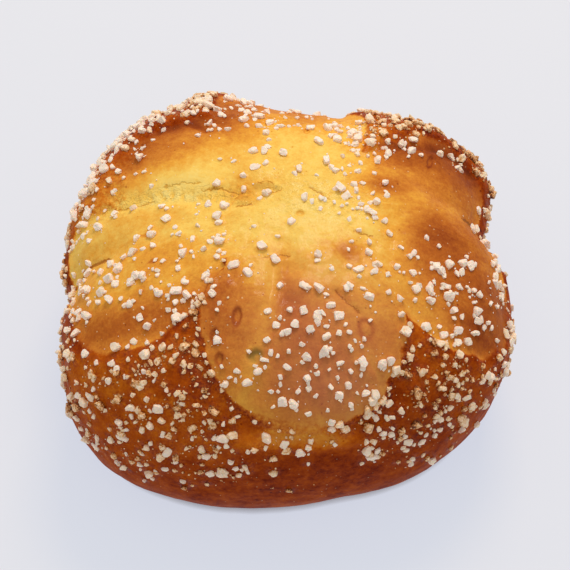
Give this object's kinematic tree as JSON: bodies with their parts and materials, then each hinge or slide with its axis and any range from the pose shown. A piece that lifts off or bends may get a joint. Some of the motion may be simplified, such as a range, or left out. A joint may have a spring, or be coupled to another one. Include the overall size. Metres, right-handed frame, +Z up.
{
  "type": "sugar brioche",
  "caption": "Round sugar brioche, snipped crosswise on top, with opened pale lobes, ridges of brown crust and pearl sugar baked on.",
  "frame": {"origin": "middle of the loaf's box, at the height of the surface it rests on", "axes": "+Z up out of the snipped top, -Y towards the front of the picture, +X to its right"},
  "size_m": [0.1724, 0.1648, 0.0919],
  "materials": {
    "baked_crust": "satin, egg-washed and baked golden to dark brown, with pearl sugar",
    "pearl_sugar": "matt white, partly stained by caramel"
  },
  "bodies": {
    "root": {"brioche": "baked_crust"}
  },
  "joints": []
}
